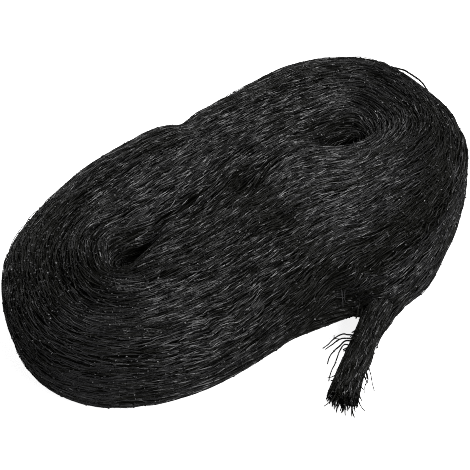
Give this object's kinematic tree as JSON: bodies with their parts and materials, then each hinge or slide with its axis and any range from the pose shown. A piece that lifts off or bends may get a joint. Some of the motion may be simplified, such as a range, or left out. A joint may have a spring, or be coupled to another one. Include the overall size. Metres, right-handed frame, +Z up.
{
  "type": "bird netting",
  "caption": "Black knotted bird netting wound into a flat oval hank round two eyes, its last turn lapped round one lobe and one cut end lying loose.",
  "frame": {"origin": "on the ground under the hank, midway between its two eyes", "axes": "+X along the hank towards the lobe with the lapped last turn, +Y across it away from the loose end, +Z up"},
  "size_m": [0.4749, 0.3308, 0.0854],
  "materials": {
    "netting": "black polyethylene net twine with a soft shine"
  },
  "bodies": {
    "root": {"hank": "netting", "loose_end": "netting"}
  },
  "joints": []
}
